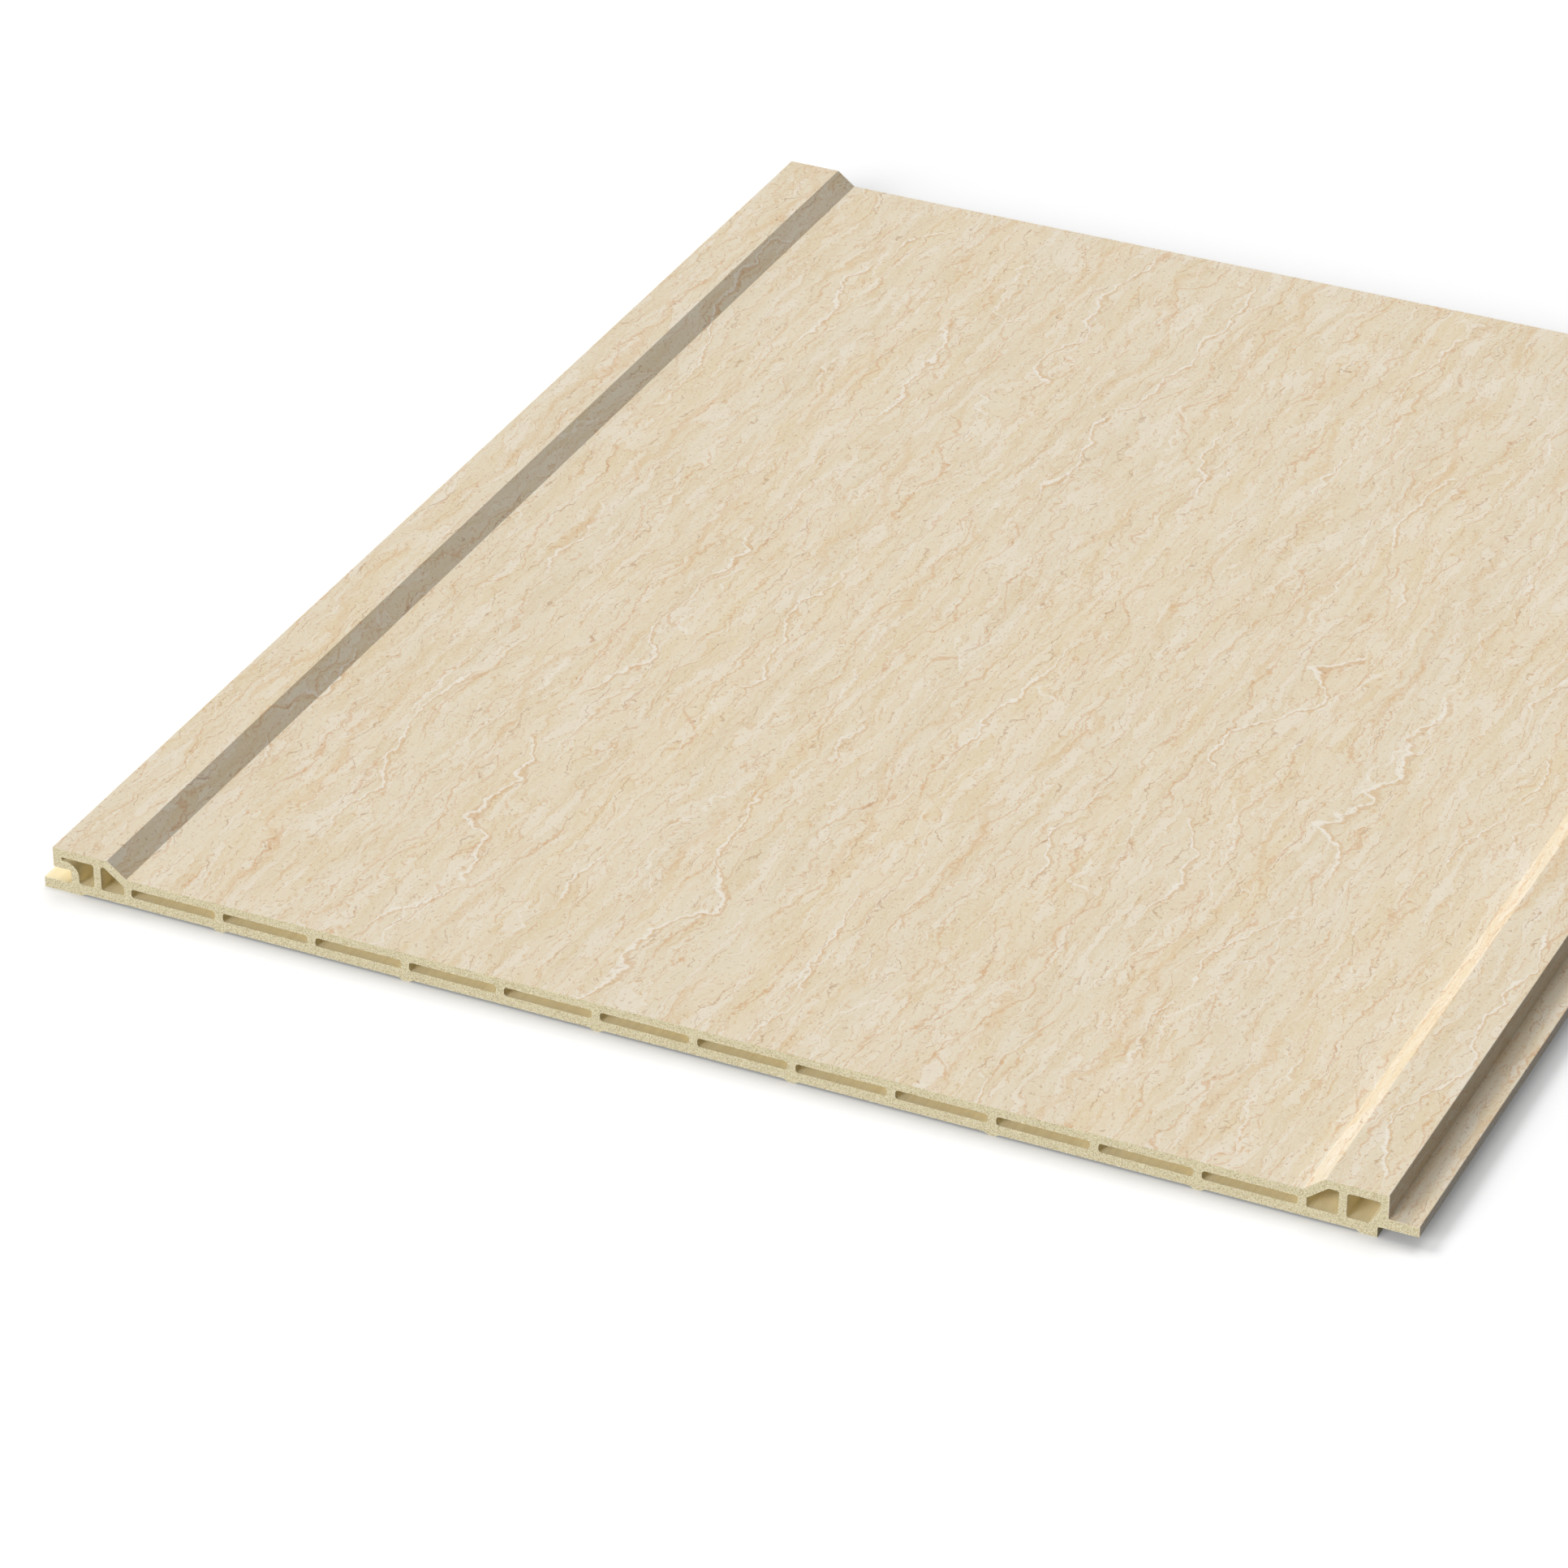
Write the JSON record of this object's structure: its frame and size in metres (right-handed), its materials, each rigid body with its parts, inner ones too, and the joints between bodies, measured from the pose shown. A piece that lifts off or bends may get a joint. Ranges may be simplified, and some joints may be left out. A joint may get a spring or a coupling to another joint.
{
  "type": "wall panel",
  "caption": "Hollow wood-plastic wall panel with a raised rail along each long edge, a tongue on one edge, a groove on the other and a stone-print film over the face.",
  "frame": {"origin": "middle of the panel's width and length, on the plane its back ribs, lip and foot stand on", "axes": "+Y along the panel's length, +Z out of the printed face, +X from the groove edge towards the tongue edge"},
  "size_m": [0.4088, 0.48, 0.0138],
  "materials": {
    "core_profile": "extruded wood-plastic composite, straw-coloured, smooth where it left the die and finely granular where it was sawn",
    "decor_film": "printed plastic film, satin, cream travertine veins that run along the panel"
  },
  "bodies": {
    "root": {"core_profile": "core_profile", "decor_film": "decor_film"}
  },
  "joints": []
}
